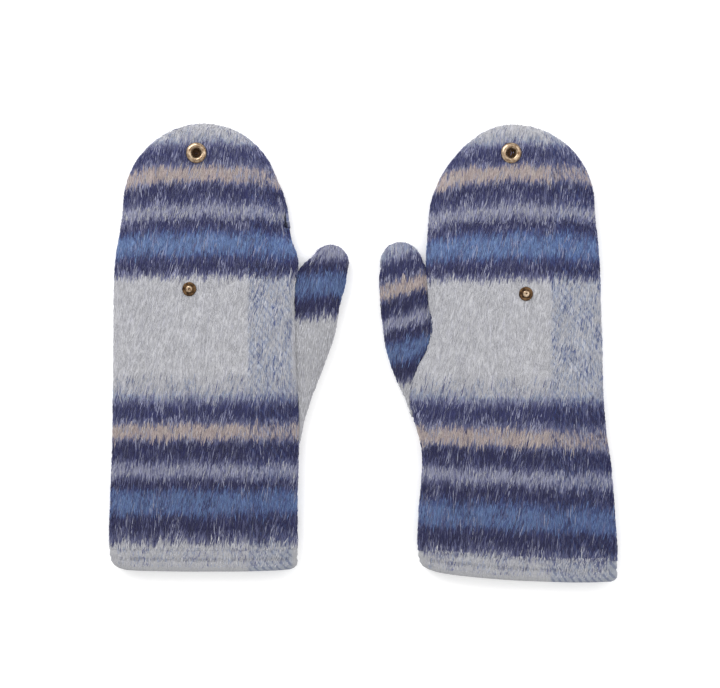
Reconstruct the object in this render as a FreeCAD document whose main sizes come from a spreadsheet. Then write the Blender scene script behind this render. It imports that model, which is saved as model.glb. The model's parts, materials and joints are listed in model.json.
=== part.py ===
import FreeCAD, Part
import math
import os
import Sketcher

# A pair of convertible mittens lying flat, backs up: fingerless hand tubes whose finger caps fold back.
# +X runs along the row, +Y to the fingertips and +Z up from the table. All lengths are in millimetres.

# Dimensions of cloth and hardware that both gloves share.
SHARED = {
    "cloth": (2.0, "thickness of the brushed cloth"),
    "ply_gap": (0.1, "gap between the cloth and its lining"),
    "lining": (0.8, "thickness of the lining"),
    "glove_height": (15.8, "height of the glove as it lies"),
    "thumb_height": (13.0, "height of the thumb as it lies"),
    "hem_width": (12.0, "width of the hem at the cuff"),
    "band_width": (6.0, "width of the finger opening's binding"),
    "fold_gap": (0.5, "gap from the fold line to each side's cloth"),
    "hinge_height": (17.2, "height of the line that the cap turns about"),
    "overlap": (22.0, "length of the cap's tongue under the palm"),
    "tongue_hem": (6.0, "width of the hem on the tongue"),
    "lift": (3.3, "height that the palm stands over the tongue"),
    "ramp": (10.0, "length over which the palm rises to that height"),
    "beyond": (300.0, "reach of a cutting shape past the glove"),
    "end_margin": (20.0, "reach of a hollow past an open end"),
    "thumb_root": (10.0, "reach of the thumb's root into the hand"),
    "thumb_drop": (8.0, "drop of that root below the thumb's foot"),
    "socket_radius": (6.0, "snap socket's outer radius"),
    "socket_height": (1.8, "snap socket's height over the cloth"),
    "socket_mouth": (2.35, "radius of the socket's mouth"),
    "socket_groove": (2.75, "radius of the groove for the ring spring"),
    "socket_rim": (0.9, "height of the socket's outer rim"),
    "socket_slope": (1.6, "run of the slope from that rim to the socket's top"),
    "groove_depth": (0.25, "top of the socket to the spring's groove"),
    "groove_width": (0.5, "width of the spring's groove"),
    "socket_seat": (0.7, "depth of the seat for the post"),
    "spring_radius": (2.25, "mean radius of the ring spring"),
    "spring_wire": (0.22, "radius of the ring spring's wire"),
    "post_radius": (3.0, "outer radius of the backing cap's post"),
    "post_bore": (2.45, "bore radius of the backing cap's post"),
    "backing_radius": (5.5, "radius of the backing cap"),
    "backing_height": (0.9, "thickness of both backing discs"),
    "stud_radius": (4.1, "radius of the stud's flange"),
    "stud_flange": (0.8, "thickness of the stud's flange"),
    "stud_neck": (1.6, "radius of the stud's neck"),
    "stud_knob": (1.95, "radius of the stud's knob"),
    "neck_height": (0.6, "height of the stud's neck"),
    "knob_height": (1.2, "height of the stud's knob"),
    "bevel_rise": (0.4, "height of the bevels on the stud"),
    "bevel_run": (0.6, "width of the bevels on the stud"),
    "knob_flare": (0.3, "height over which the neck widens into the knob"),
    "crimp_gap": (0.05, "gap between the rivet's end and the knob"),
    "bore_depth": (0.2, "reach of the stud's bore into the knob"),
    "rivet_radius": (1.2, "radius of the eyelet's rivet post"),
    "eyelet_radius": (3.8, "radius of the eyelet's disc"),
    "rivet_clearance": (0.05, "gap round a rivet post"),
}

# Plan dimensions of each glove, from its own centre line. Outer is the little finger's side.
LEFT = {
    "row_x": (-91.5, "place of the centre line in the row"),
    "cuff_outer": (55.3, "centre line to the cuff's outer corner"),
    "cuff_thumb": (53.9, "centre line to the cuff's thumb-side corner"),
    "cuff_outer_y": (-125.4, "cuff's outer corner along the row's Y"),
    "cuff_thumb_y": (-125.4, "cuff's thumb-side corner along Y"),
    "wrist_outer": (53.4, "half width at the wrist, outer side"),
    "wrist_thumb": (54.4, "half width at the wrist, thumb side"),
    "wrist_y": (-50.0, "place of the wrist along Y"),
    "knuckle_outer": (52.5, "half width at the knuckles, outer side"),
    "knuckle_thumb": (53.4, "half width at the knuckles, thumb side"),
    "knuckle_y": (52.0, "place of the knuckles along Y"),
    "fold_outer": (48.6, "half width at the fold, outer side"),
    "fold_thumb": (48.6, "half width at the fold, thumb side"),
    "fold_x": (-6.6, "middle of the fold line, across"),
    "fold_y": (75.9, "middle of the fold line, along Y"),
    "fold_angle": (-2.96, "turn of the fold line, in degrees"),
    "snap_reach": (39.2, "fold line to the centre of each snap half"),
    "cap_radius": (47.7, "radius of the cap's rounded end"),
    "cap_centre_y": (85.0, "centre of that radius along Y"),
    "thumb_tip": (71.0, "centre line to the middle of the thumb's tip"),
    "thumb_tip_y": (50.5, "centre of the tip's radius along Y"),
    "thumb_radius": (12.1, "radius of the thumb's tip"),
    "thumb_bend": (74.4, "centre line to the bend in the thumb's edge"),
    "thumb_bend_y": (11.0, "place of that bend along Y"),
    "thumb_base_y": (-44.4, "foot of the thumb along Y"),
    "thumb_crotch_y": (46.5, "fork between thumb and hand along Y"),
}
RIGHT = {
    "row_x": (87.1, "place of the centre line in the row"),
    "cuff_outer": (59.7, "centre line to the cuff's outer corner"),
    "cuff_thumb": (55.5, "centre line to the cuff's thumb-side corner"),
    "cuff_outer_y": (-132.7, "cuff's outer corner along the row's Y"),
    "cuff_thumb_y": (-126.0, "cuff's thumb-side corner along Y"),
    "wrist_outer": (53.4, "half width at the wrist, outer side"),
    "wrist_thumb": (54.2, "half width at the wrist, thumb side"),
    "wrist_y": (-50.0, "place of the wrist along Y"),
    "knuckle_outer": (49.6, "half width at the knuckles, outer side"),
    "knuckle_thumb": (51.4, "half width at the knuckles, thumb side"),
    "knuckle_y": (55.0, "place of the knuckles along Y"),
    "fold_outer": (47.8, "half width at the fold, outer side"),
    "fold_thumb": (48.8, "half width at the fold, thumb side"),
    "fold_x": (2.0, "middle of the fold line, across"),
    "fold_y": (74.5, "middle of the fold line, along Y"),
    "fold_angle": (5.98, "turn of the fold line, in degrees"),
    "snap_reach": (40.7, "fold line to the centre of each snap half"),
    "cap_radius": (47.3, "radius of the cap's rounded end"),
    "cap_centre_y": (84.8, "centre of that radius along Y"),
    "thumb_tip": (66.0, "centre line to the middle of the thumb's tip"),
    "thumb_tip_y": (51.4, "centre of the tip's radius along Y"),
    "thumb_radius": (11.5, "radius of the thumb's tip"),
    "thumb_bend": (75.3, "centre line to the bend in the thumb's edge"),
    "thumb_bend_y": (8.0, "place of that bend along Y"),
    "thumb_base_y": (-52.0, "foot of the thumb along Y"),
    "thumb_crotch_y": (51.0, "fork between thumb and hand along Y"),
}

# Thumbs point to the middle of the row: to +X on the left glove and to -X on the right one.
THUMB_SIGN = {"left": 1, "right": -1}
SECTION_ROTATION = FreeCAD.Rotation(FreeCAD.Vector(1, 1, 1), 120)

# Depths below the outer surface, written as sheet expressions.
SKIN = "0"
CLOTH = "Dimensions.cloth"
LINING_OUTSIDE = "(Dimensions.cloth + Dimensions.ply_gap)"
LINING_INSIDE = "(Dimensions.cloth + Dimensions.ply_gap + Dimensions.lining)"
SEAM_HEIGHT = "Dimensions.glove_height / 2"


def fill_sheet(document):
    """Writes every dimension with its alias and a note, and returns the sheet."""
    sheet = document.addObject("Spreadsheet::Sheet", "Dimensions")
    entries = dict(SHARED)
    for side, plan in (("left", LEFT), ("right", RIGHT)):
        entries.update({f"{side}_{word}": entry for word, entry in plan.items()})
    for row, (alias, (value, note)) in enumerate(entries.items(), start=1):
        sheet.set(f"A{row}", note)
        sheet.set(f"B{row}", str(value))
        sheet.setAlias(f"B{row}", alias)
    document.recompute()
    return sheet


def number(expression):
    """The present value of a sheet expression."""
    return float(FreeCAD.ActiveDocument.Dimensions.evalExpression(expression))


def bind(thing, **expressions):
    """Ties properties of a document object to the sheet."""
    for path, expression in expressions.items():
        thing.setExpression(path.replace("__", "."), expression)


def draw_outline(sketch, corners, arc_edge=None, arc_centre_y=None):
    """Closes an outline through corners, each tied to the sheet. The edge named arc_edge is a half circle."""
    points = [FreeCAD.Vector(number(x), number(y), 0) for x, y in corners]
    ends = []
    for index, start in enumerate(points):
        finish = points[(index + 1) % len(points)]
        if index == arc_edge:
            centre = FreeCAD.Vector((start.x + finish.x) / 2, number(arc_centre_y), 0)
            circle = Part.Circle(centre, FreeCAD.Vector(0, 0, 1), abs(finish.x - start.x) / 2)
            sketch.addGeometry(Part.ArcOfCircle(circle, 0, math.pi), False)
            ends.append((1, 2) if start.x > finish.x else (2, 1))
        else:
            sketch.addGeometry(Part.LineSegment(start, finish), False)
            ends.append((1, 2))
    for index, (first, last) in enumerate(ends):
        following = (index + 1) % len(ends)
        sketch.addConstraint(
            Sketcher.Constraint("Coincident", index, last, following, ends[following][0])
        )
    for index, (x, y) in enumerate(corners):
        tie_distance(sketch, "DistanceX", index, ends[index][0], x)
        tie_distance(sketch, "DistanceY", index, ends[index][0], y)
    if arc_edge is not None:
        tie_distance(sketch, "DistanceY", arc_edge, 3, arc_centre_y)


def tie_distance(sketch, kind, edge, point, expression):
    """Holds one coordinate of a sketch point at the sheet's value."""
    index = sketch.addConstraint(
        Sketcher.Constraint(kind, -1, 1, edge, point, number(expression))
    )
    sketch.setExpression(f"Constraints[{index}]", expression)


def upright_prism(name, corners, bottom, height, arc_edge=None, arc_centre_y=None):
    """A plan outline raised along Z, from bottom and as high as height."""
    document = FreeCAD.ActiveDocument
    sketch = document.addObject("Sketcher::SketchObject", name + "_plan")
    draw_outline(sketch, corners, arc_edge, arc_centre_y)
    bind(sketch, Placement__Base__z=bottom)
    prism = document.addObject("Part::Extrusion", name)
    prism.Base = sketch
    prism.DirMode = "Normal"
    prism.Solid = True
    bind(prism, LengthFwd=height)
    return prism


def section_prism(side, name, corners):
    """A section of (distance past the fold, height), drawn out sideways along the fold line."""
    document = FreeCAD.ActiveDocument
    sketch = document.addObject("Sketcher::SketchObject", name + "_section")
    draw_outline(sketch, corners)
    turn = FreeCAD.Rotation(FreeCAD.Vector(0, 0, 1), number(f"Dimensions.{side}_fold_angle"))
    sketch.Placement = FreeCAD.Placement(FreeCAD.Vector(), turn * SECTION_ROTATION)
    bind(
        sketch,
        Placement__Base__x=f"Dimensions.{side}_fold_x",
        Placement__Base__y=f"Dimensions.{side}_fold_y",
    )
    prism = document.addObject("Part::Extrusion", name)
    prism.Base = sketch
    prism.DirMode = "Normal"
    prism.Symmetric = True
    prism.Solid = True
    bind(prism, LengthFwd="Dimensions.beyond")
    return prism


def common(name, *shapes):
    """The space that all the shapes share."""
    result = FreeCAD.ActiveDocument.addObject("Part::MultiCommon", name)
    result.Shapes = list(shapes)
    return result


def cut(name, base, *tools):
    """base with each tool taken out of it."""
    for count, tool in enumerate(tools, start=1):
        result = FreeCAD.ActiveDocument.addObject("Part::Cut", f"{name}_cut_{count}")
        result.Base = base
        result.Tool = tool
        base = result
    return base


def hand_corners(side, depth, foot_raise, past_end=None):
    """Plan corners of the hand, set in by depth, from the cuff (raised by foot_raise) past the fold."""
    sign = THUMB_SIGN[side]
    cells = f"Dimensions.{side}_"

    def across(word, direction):
        return f"{sign * direction} * ({cells}{word} - {depth})"

    outer_foot = f"{cells}cuff_outer_y + {foot_raise}"
    thumb_foot = f"{cells}cuff_thumb_y + {foot_raise}"
    past_fold = f"{cells}fold_y + Dimensions.end_margin"
    corners = [
        (across("cuff_outer", -1), outer_foot),
        (across("cuff_thumb", 1), thumb_foot),
        (across("wrist_thumb", 1), f"{cells}wrist_y"),
        (across("knuckle_thumb", 1), f"{cells}knuckle_y"),
        (across("fold_thumb", 1), f"{cells}fold_y"),
        (across("fold_thumb", 1), past_fold),
        (across("fold_outer", -1), past_fold),
        (across("fold_outer", -1), f"{cells}fold_y"),
        (across("knuckle_outer", -1), f"{cells}knuckle_y"),
        (across("wrist_outer", -1), f"{cells}wrist_y"),
    ]
    if past_end:
        corners.insert(1, (across("cuff_thumb", 1), f"{thumb_foot} - {past_end}"))
        corners.insert(1, (across("cuff_outer", -1), f"{outer_foot} - {past_end}"))
    return corners


def hand_space(side, name, depth, foot_raise, front, past_end=None):
    """The hand tube's space at depth below its skin, up to front past the fold, raised over the tongue."""
    plan = upright_prism(
        name + "_plan_prism",
        hand_corners(side, depth, foot_raise, past_end),
        "0",
        "Dimensions.glove_height",
    )
    roof = f"Dimensions.glove_height - {depth}"
    raised = f"Dimensions.lift + {depth}"
    section = section_prism(
        side,
        name + "_section_prism",
        [
            ("-Dimensions.beyond", depth),
            ("-Dimensions.overlap - Dimensions.ramp", depth),
            ("-Dimensions.overlap", raised),
            (front, raised),
            (front, roof),
            ("-Dimensions.beyond", roof),
        ],
    )
    return common(name, plan, section)


def thumb_space(side, name, depth):
    """The thumb's space at depth below its skin. Its root reaches into the hand."""
    sign = THUMB_SIGN[side]
    cells = f"Dimensions.{side}_"
    root = f"{sign} * ({cells}wrist_thumb - Dimensions.thumb_root)"
    tip_reach = f"({cells}thumb_radius - {depth})"
    corners = [
        (root, f"{cells}thumb_base_y - Dimensions.thumb_drop + {depth}"),
        (f"{sign} * ({cells}wrist_thumb - {depth})", f"{cells}thumb_base_y"),
        (f"{sign} * ({cells}thumb_bend - {depth})", f"{cells}thumb_bend_y"),
        (f"{sign} * ({cells}thumb_tip + {tip_reach})", f"{cells}thumb_tip_y"),
        (f"{sign} * ({cells}thumb_tip - {tip_reach})", f"{cells}thumb_tip_y"),
        (root, f"{cells}thumb_crotch_y - {depth}"),
    ]
    return upright_prism(
        name,
        corners,
        depth,
        f"Dimensions.thumb_height - 2 * {depth}",
        arc_edge=3,
        arc_centre_y=f"{cells}thumb_tip_y",
    )


def cap_plan(side, name, depth):
    """The cap's plan at depth below its skin: straight sides and a rounded end."""
    cells = f"Dimensions.{side}_"
    half_width = f"({cells}cap_radius - {depth})"
    foot = f"{cells}fold_y - Dimensions.overlap - Dimensions.end_margin"
    corners = [
        (f"-{half_width}", foot),
        (half_width, foot),
        (half_width, f"{cells}cap_centre_y"),
        (f"-{half_width}", f"{cells}cap_centre_y"),
    ]
    return upright_prism(
        name,
        corners,
        "0",
        "Dimensions.glove_height",
        arc_edge=2,
        arc_centre_y=f"{cells}cap_centre_y",
    )


def half_zone(side, name, low, high, start, front):
    """A block of the section between two heights and two distances from the fold."""
    return section_prism(side, name, [(start, low), (front, low), (front, high), (start, high)])


def snap_place(side, direction):
    """Sheet expressions for a snap half's centre: direction +1 is on the cap and -1 on the hand."""
    cells = f"Dimensions.{side}_"
    reach = f"{direction} * {cells}snap_reach"
    return (
        f"{cells}fold_x - {reach} * sin({cells}fold_angle)",
        f"{cells}fold_y + {reach} * cos({cells}fold_angle)",
    )


def post_hole(side, name, direction, radius):
    """A round clearance hole through the back of the glove at a snap half."""
    hole = FreeCAD.ActiveDocument.addObject("Part::Cylinder", name)
    x, y = snap_place(side, direction)
    bind(
        hole,
        Radius=radius,
        Height="Dimensions.glove_height",
        Placement__Base__x=x,
        Placement__Base__y=y,
        Placement__Base__z=SEAM_HEIGHT,
    )
    return hole


def finish_node(side, node, shape):
    """Gives a finished piece its label and its place in the row."""
    shape.Label = f"{side}_{node}"
    bind(shape, Placement__Base__x=f"Dimensions.{side}_row_x")
    return shape


def build_hand(side):
    """Back and palm of the hand, its lining and the finger band, all open to the thumb."""
    tag = side + "_hand"
    at_fold = "-Dimensions.fold_gap"
    past_fold = "Dimensions.end_margin"
    band_start = "-Dimensions.band_width"
    hem = "Dimensions.hem_width"
    open_end = "2 * Dimensions.end_margin"
    outside = hand_space(side, tag + "_outside", SKIN, hem, at_fold)
    hollow = hand_space(side, tag + "_hollow", CLOTH, hem, past_fold, open_end)
    lining_block = hand_space(side, tag + "_lining_block", LINING_OUTSIDE, hem, band_start)
    cavity = hand_space(side, tag + "_cavity", LINING_INSIDE, hem, past_fold, open_end)
    thumb_hollow = thumb_space(side, tag + "_thumb_hollow", CLOTH)
    thumb_cavity = thumb_space(side, tag + "_thumb_cavity", LINING_INSIDE)
    stud_hole = post_hole(
        side, tag + "_stud_hole", -1, "Dimensions.rivet_radius + Dimensions.rivet_clearance"
    )

    tube = cut(tag + "_tube", outside, hollow, thumb_hollow)
    back_zone = section_prism(
        side,
        tag + "_back_zone",
        [
            ("-Dimensions.beyond", SEAM_HEIGHT),
            (band_start, SEAM_HEIGHT),
            (band_start, f"Dimensions.glove_height - {CLOTH}"),
            (past_fold, f"Dimensions.glove_height - {CLOTH}"),
            (past_fold, "Dimensions.glove_height * 2"),
            ("-Dimensions.beyond", "Dimensions.glove_height * 2"),
        ],
    )
    palm_zone = half_zone(side, tag + "_palm_zone", "0", SEAM_HEIGHT, "-Dimensions.beyond", band_start)
    back = cut(tag + "_back", common(tag + "_back_half", tube, back_zone), stud_hole)
    finish_node(side, "hand_back_shell", back)
    finish_node(side, "hand_palm_shell", common(tag + "_palm_half", tube, palm_zone))

    lining = cut(tag + "_lining", lining_block, cavity, thumb_cavity, stud_hole)
    finish_node(side, "hand_lining", lining)

    band_zone = half_zone(
        side,
        tag + "_band_zone",
        "Dimensions.lift",
        f"Dimensions.glove_height - {LINING_OUTSIDE}",
        band_start,
        at_fold,
    )
    band_block = common(tag + "_band_block", outside, band_zone)
    finish_node(side, "finger_band", cut(tag + "_band", band_block, cavity))


def build_cuff_hem(side):
    """The turned hem round the wrist opening, as deep as cloth and lining together."""
    sign = THUMB_SIGN[side]
    cells = f"Dimensions.{side}_"

    def ring_corners(depth, margin):
        outer_x = f"{-sign} * ({cells}cuff_outer - {depth})"
        thumb_x = f"{sign} * ({cells}cuff_thumb - {depth})"
        return [
            (outer_x, f"{cells}cuff_outer_y - {margin}"),
            (thumb_x, f"{cells}cuff_thumb_y - {margin}"),
            (thumb_x, f"{cells}cuff_thumb_y + Dimensions.hem_width + {margin}"),
            (outer_x, f"{cells}cuff_outer_y + Dimensions.hem_width + {margin}"),
        ]

    block = upright_prism(
        side + "_hem_block", ring_corners(SKIN, "0"), "0", "Dimensions.glove_height"
    )
    inside = upright_prism(
        side + "_hem_inside",
        ring_corners(LINING_INSIDE, "Dimensions.end_margin"),
        LINING_INSIDE,
        f"Dimensions.glove_height - 2 * {LINING_INSIDE}",
    )
    finish_node(side, "cuff_hem", cut(side + "_hem", block, inside))


def build_thumb(side):
    """Back and palm halves of the thumb, and its lining, all outside the hand's own wall."""
    tag = side + "_thumb"
    hand_block = upright_prism(
        tag + "_hand_block",
        hand_corners(side, SKIN, "0"),
        "0",
        "Dimensions.glove_height",
    )
    outside = thumb_space(side, tag + "_outside", SKIN)
    hollow = thumb_space(side, tag + "_hollow", CLOTH)
    lining_block = thumb_space(side, tag + "_lining_block", LINING_OUTSIDE)
    cavity = thumb_space(side, tag + "_cavity", LINING_INSIDE)
    tube = cut(tag + "_tube", outside, hand_block, hollow)
    middle = "Dimensions.thumb_height / 2"
    far_back = "-Dimensions.beyond"
    far_front = "Dimensions.beyond"
    upper = half_zone(side, tag + "_upper", middle, "Dimensions.thumb_height", far_back, far_front)
    lower = half_zone(side, tag + "_lower", "0", middle, far_back, far_front)
    finish_node(side, "thumb_back_shell", common(tag + "_back", tube, upper))
    finish_node(side, "thumb_palm_shell", common(tag + "_palm", tube, lower))
    finish_node(side, "thumb_lining", cut(tag + "_lining", lining_block, hand_block, cavity))


def build_cap(side):
    """Back and palm of the fold-back cap with its tongue, its lining and its hem."""
    tag = side + "_cap"
    roof = "Dimensions.glove_height"
    start = "Dimensions.fold_gap"
    far = "Dimensions.beyond"
    hem_line = "-Dimensions.overlap + Dimensions.fold_gap + Dimensions.tongue_hem"
    plans = {
        depth: cap_plan(side, f"{tag}_plan_{index}", depth)
        for index, depth in enumerate((SKIN, CLOTH, LINING_OUTSIDE, LINING_INSIDE))
    }
    back_zone = half_zone(side, tag + "_back_zone", SEAM_HEIGHT, roof, start, far)
    palm_zone = section_prism(
        side,
        tag + "_palm_zone",
        [
            (hem_line, "0"),
            (far, "0"),
            (far, SEAM_HEIGHT),
            (start, SEAM_HEIGHT),
            (start, CLOTH),
            (hem_line, CLOTH),
        ],
    )
    lining_zone = section_prism(
        side,
        tag + "_lining_zone",
        [
            (hem_line, LINING_OUTSIDE),
            (far, LINING_OUTSIDE),
            (far, f"{roof} - {LINING_OUTSIDE}"),
            (start, f"{roof} - {LINING_OUTSIDE}"),
            (start, LINING_INSIDE),
            (hem_line, LINING_INSIDE),
        ],
    )
    hem_zone = half_zone(
        side,
        tag + "_hem_zone",
        "0",
        LINING_INSIDE,
        "-Dimensions.overlap + Dimensions.fold_gap",
        hem_line,
    )
    behind = "-Dimensions.end_margin"
    hollow = common(
        tag + "_hollow",
        plans[CLOTH],
        half_zone(side, tag + "_hollow_zone", CLOTH, f"{roof} - {CLOTH}", behind, far),
    )
    cavity = common(
        tag + "_cavity",
        plans[LINING_INSIDE],
        half_zone(
            side,
            tag + "_cavity_zone",
            LINING_INSIDE,
            f"{roof} - {LINING_INSIDE}",
            "-Dimensions.overlap",
            far,
        ),
    )
    socket_hole = post_hole(
        side, tag + "_socket_hole", 1, "Dimensions.post_radius + Dimensions.rivet_clearance"
    )
    back = cut(tag + "_back", common(tag + "_back_block", plans[SKIN], back_zone), hollow, socket_hole)
    finish_node(side, "cap_back_shell", back)
    palm = cut(tag + "_palm", common(tag + "_palm_block", plans[SKIN], palm_zone), hollow)
    finish_node(side, "cap_palm_shell", palm)
    lining_block = common(tag + "_lining_block", plans[LINING_OUTSIDE], lining_zone)
    finish_node(side, "cap_lining", cut(tag + "_lining", lining_block, cavity, socket_hole))
    finish_node(side, "cap_hem", common(tag + "_hem_strip", plans[SKIN], hem_zone))


def place_snap_piece(side, node, direction, piece):
    """Puts a turned piece of a snap on its centre, in the row."""
    x, y = snap_place(side, direction)
    piece.Label = f"{side}_{node}"
    bind(piece, Placement__Base__x=f"Dimensions.{side}_row_x + {x}", Placement__Base__y=y)


def turned_body(side, node, direction, corners):
    """A body turned about its own upright axis from a half section of (radius, height)."""
    document = FreeCAD.ActiveDocument
    body = document.addObject("PartDesign::Body", f"{side}_{node}_body")
    plane = next(f for f in body.Origin.OriginFeatures if f.Role == "XZ_Plane")
    sketch = body.newObject("Sketcher::SketchObject", f"{side}_{node}_half_section")
    sketch.AttachmentSupport = [(plane, "")]
    sketch.MapMode = "FlatFace"
    draw_outline(sketch, corners)
    turning = body.newObject("PartDesign::Revolution", f"{side}_{node}_turning")
    turning.Profile = sketch
    turning.ReferenceAxis = (sketch, ["V_Axis"])
    turning.Angle = 360
    body.Tip = turning
    place_snap_piece(side, node, direction, body)
    return body


def build_socket(side):
    """The cap's half of the snap: open ring socket, ring spring, and backing cap with a tubular post."""
    surface = "Dimensions.glove_height"
    top = f"{surface} + Dimensions.socket_height"
    seat_top = f"{surface} + Dimensions.socket_seat"
    groove_high = f"{top} - Dimensions.groove_depth"
    groove_low = f"{groove_high} - Dimensions.groove_width"
    seat_radius = "Dimensions.post_radius + Dimensions.rivet_clearance"
    turned_body(
        side,
        "snap_socket",
        1,
        [
            (seat_radius, surface),
            ("Dimensions.socket_radius", surface),
            ("Dimensions.socket_radius", f"{surface} + Dimensions.socket_rim"),
            ("Dimensions.socket_radius - Dimensions.socket_slope", top),
            ("Dimensions.socket_mouth", top),
            ("Dimensions.socket_mouth", groove_high),
            ("Dimensions.socket_groove", groove_high),
            ("Dimensions.socket_groove", groove_low),
            ("Dimensions.socket_mouth", groove_low),
            ("Dimensions.socket_mouth", seat_top),
            (seat_radius, seat_top),
        ],
    )
    spring = FreeCAD.ActiveDocument.addObject("Part::Torus", f"{side}_snap_spring_ring")
    bind(spring, Radius1="Dimensions.spring_radius", Radius2="Dimensions.spring_wire")
    bind(spring, Placement__Base__z=f"{groove_high} - Dimensions.groove_width / 2")
    place_snap_piece(side, "snap_socket_spring", 1, spring)
    under = f"{surface} - {LINING_INSIDE} - Dimensions.ply_gap"
    disc_low = f"{under} - Dimensions.backing_height"
    turned_body(
        side,
        "snap_socket_cap",
        1,
        [
            ("0", disc_low),
            ("Dimensions.backing_radius", disc_low),
            ("Dimensions.backing_radius", under),
            ("Dimensions.post_radius", under),
            ("Dimensions.post_radius", f"{seat_top} - Dimensions.rivet_clearance"),
            ("Dimensions.post_bore", f"{seat_top} - Dimensions.rivet_clearance"),
            ("Dimensions.post_bore", under),
            ("0", under),
        ],
    )


def build_stud(side):
    """The hand's half of the snap: flanged stud with a knob, and backing eyelet with a rivet post."""
    surface = "Dimensions.glove_height"
    flange_top = f"{surface} + Dimensions.stud_flange"
    knob_low = f"{flange_top} + Dimensions.neck_height"
    knob_top = f"{knob_low} + Dimensions.knob_height"
    bore = "Dimensions.rivet_radius + Dimensions.rivet_clearance"
    turned_body(
        side,
        "snap_stud",
        -1,
        [
            (bore, surface),
            ("Dimensions.stud_radius", surface),
            ("Dimensions.stud_radius", f"{flange_top} - Dimensions.bevel_rise"),
            ("Dimensions.stud_radius - Dimensions.bevel_run", flange_top),
            ("Dimensions.stud_neck", flange_top),
            ("Dimensions.stud_neck", knob_low),
            ("Dimensions.stud_knob", f"{knob_low} + Dimensions.knob_flare"),
            ("Dimensions.stud_knob", f"{knob_top} - Dimensions.bevel_rise"),
            ("Dimensions.stud_knob - Dimensions.bevel_run", knob_top),
            ("0", knob_top),
            ("0", f"{knob_low} + Dimensions.bore_depth"),
            (bore, f"{knob_low} + Dimensions.bore_depth"),
        ],
    )
    under = f"{surface} - {LINING_INSIDE} - Dimensions.ply_gap"
    disc_low = f"{under} - Dimensions.backing_height"
    rivet_top = f"{knob_low} + Dimensions.bore_depth - Dimensions.crimp_gap"
    turned_body(
        side,
        "snap_stud_eyelet",
        -1,
        [
            ("0", disc_low),
            ("Dimensions.eyelet_radius", disc_low),
            ("Dimensions.eyelet_radius", under),
            ("Dimensions.rivet_radius", under),
            ("Dimensions.rivet_radius", rivet_top),
            ("0", rivet_top),
        ],
    )


def check_document(document):
    """Stops if any object failed to recompute."""
    failed = [o.Name for o in document.Objects if {"Invalid", "Error"} & set(o.State)]
    if failed:
        raise RuntimeError(f"these objects failed: {failed}")


def finished_nodes(document):
    """Every object whose label names a piece of one of the gloves, in document order."""
    nodes = {}
    for thing in document.Objects:
        if thing.Label != thing.Name and thing.Label.startswith(("left_", "right_")):
            nodes[thing.Label] = thing
    return nodes


def write_parts(nodes):
    """Checks each piece's shape and writes its file."""
    for label, thing in nodes.items():
        shape = thing.Shape
        if shape.isNull() or not shape.isValid() or not shape.Solids:
            raise RuntimeError(f"{label} has no valid solid")
    os.makedirs("parts", exist_ok=True)
    for label, thing in nodes.items():
        thing.Shape.exportStep(f"parts/{label}.step")
        print(label, len(thing.Shape.Solids), "solids", round(thing.Shape.Volume), "mm3")


def main():
    document = FreeCAD.newDocument("Mittens")
    fill_sheet(document)
    for side in ("left", "right"):
        build_hand(side)
        build_cuff_hem(side)
        build_thumb(side)
        build_cap(side)
        build_socket(side)
        build_stud(side)
    document.recompute()
    check_document(document)
    write_parts(finished_nodes(document))


main()
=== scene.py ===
import json
import math
from types import SimpleNamespace

import bpy
import numpy as np
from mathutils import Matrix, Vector
from mathutils.bvhtree import BVHTree


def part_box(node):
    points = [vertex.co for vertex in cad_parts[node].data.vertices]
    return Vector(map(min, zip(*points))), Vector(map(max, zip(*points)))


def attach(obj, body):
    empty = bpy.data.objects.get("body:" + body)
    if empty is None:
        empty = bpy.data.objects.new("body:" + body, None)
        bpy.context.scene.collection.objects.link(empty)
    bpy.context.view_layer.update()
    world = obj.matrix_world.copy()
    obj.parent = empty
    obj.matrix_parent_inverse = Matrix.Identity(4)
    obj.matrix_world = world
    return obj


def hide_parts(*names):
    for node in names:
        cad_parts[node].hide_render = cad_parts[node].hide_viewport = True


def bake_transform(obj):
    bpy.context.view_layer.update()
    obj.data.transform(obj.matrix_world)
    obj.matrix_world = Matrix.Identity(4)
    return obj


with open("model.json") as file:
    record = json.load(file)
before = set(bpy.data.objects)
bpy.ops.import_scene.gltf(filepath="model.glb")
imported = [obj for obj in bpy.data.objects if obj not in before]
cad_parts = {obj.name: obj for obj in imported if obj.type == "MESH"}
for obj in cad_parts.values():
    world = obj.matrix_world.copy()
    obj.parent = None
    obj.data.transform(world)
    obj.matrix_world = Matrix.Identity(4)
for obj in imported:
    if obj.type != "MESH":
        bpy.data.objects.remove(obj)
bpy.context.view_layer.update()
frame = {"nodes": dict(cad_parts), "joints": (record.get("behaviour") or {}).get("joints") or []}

# A pair of brushed check mittens lying flat, backs up. Plans are in millimetres, with x from each glove's
# centre line and y as in the frame, and become metres when they are built.
MM = 0.001

# Cloth and hand measures, in millimetres.
CLOTH = 2.0
LINING_DEPTH = 2.3
LINING_THICKNESS = 0.7
CROWN = 15.7
CUFF_CROWN = 12.6
THUMB_CROWN = 13.2
THUMB_SEAM = 6.4
THIN_CLOTH = 1.6
BACK_ROLL = 13.0
PALM_ROLL = 9.0
FLOOR_GAP = 0.7
OPENING_GAP = 0.7
TONGUE_LIFT = 3.4
TONGUE_LENGTH = 21.5
TONGUE_HEM = 6.0
TONGUE_SET_IN = 2.4
TONGUE_CORNER = 8.0
BAND_WIDTH = 6.0
HEM_WIDTH = 12.0
HEM_CREASE = 0.7
FOLD_DIP = 0.9
SNAP_SEAT = 8.0
SNAP_PUCKER = 0.35
CUFF_SHAPE_FROM = 40.0
ARCH_LENGTH = 60.0
ARCH_HALF_WIDTH = 48.0
HALF_HAND = 55.0
NARROW_CUT = 0.955
SHORT_CUT = 0.965

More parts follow.
